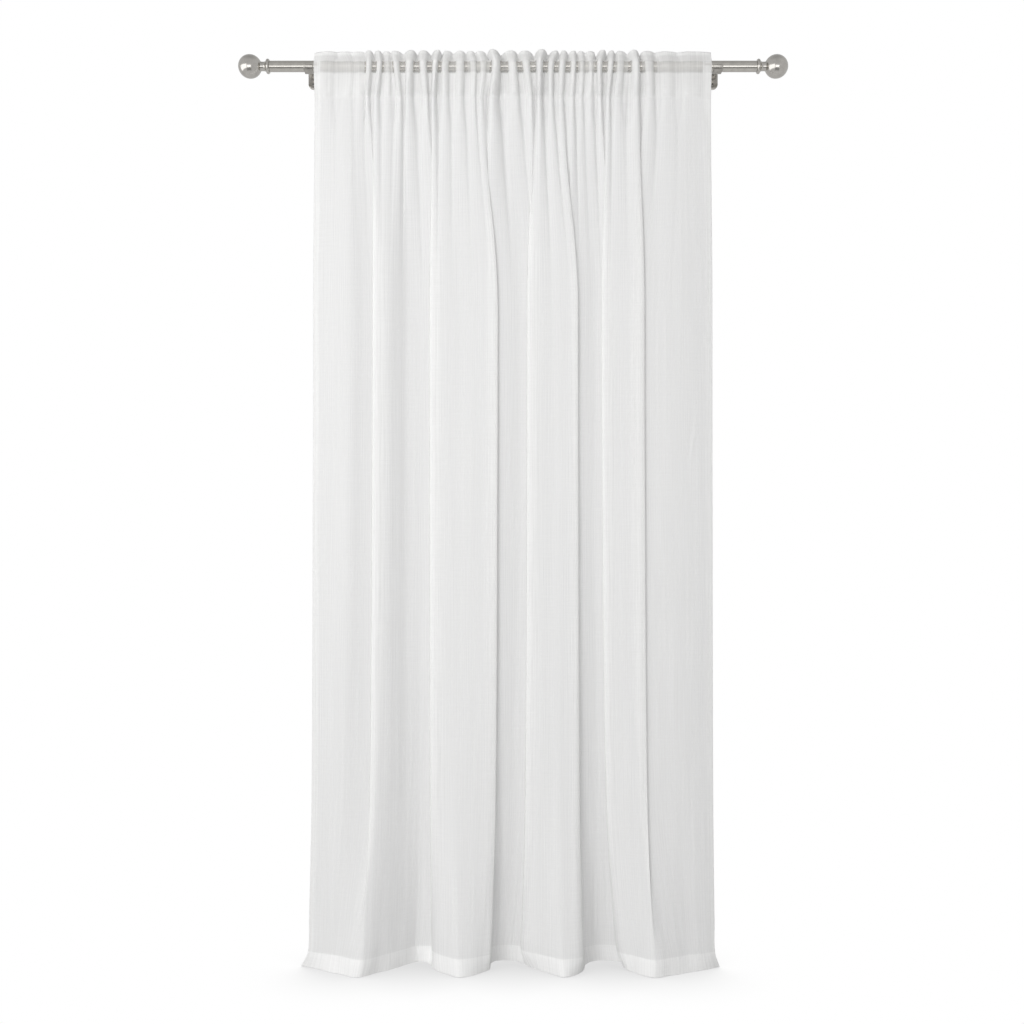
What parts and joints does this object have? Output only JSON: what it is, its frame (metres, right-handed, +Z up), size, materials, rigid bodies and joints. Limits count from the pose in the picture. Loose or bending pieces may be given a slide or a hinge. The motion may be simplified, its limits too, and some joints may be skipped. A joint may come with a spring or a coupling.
{
  "type": "sheer voile curtain on its rod",
  "caption": "Sheer voile curtain with a ruffled rod pocket, gathered on a brushed nickel rod with ball finials and wall brackets, hanging in soft folds to the floor.",
  "frame": {"origin": "on the floor, straight under the middle of the rod's axis", "axes": "+X along the rod to the right as seen from the room, +Y back to the wall, +Z up"},
  "size_m": [1.2806, 0.147, 2.137],
  "materials": {
    "voile": "sheer plain weave with fine slubs",
    "nickel": "brushed nickel plate",
    "nickel_cast": "satin nickel plate on a casting",
    "screw_steel": "plated steel"
  },
  "bodies": {
    "root": {"curtain_panel": "voile", "rod_tube": "nickel", "finial_left": "nickel", "finial_right": "nickel", "bracket_left": "nickel_cast", "bracket_right": "nickel_cast", "screw_left_upper": "screw_steel", "screw_left_lower": "screw_steel", "screw_right_upper": "screw_steel", "screw_right_lower": "screw_steel"}
  },
  "joints": []
}
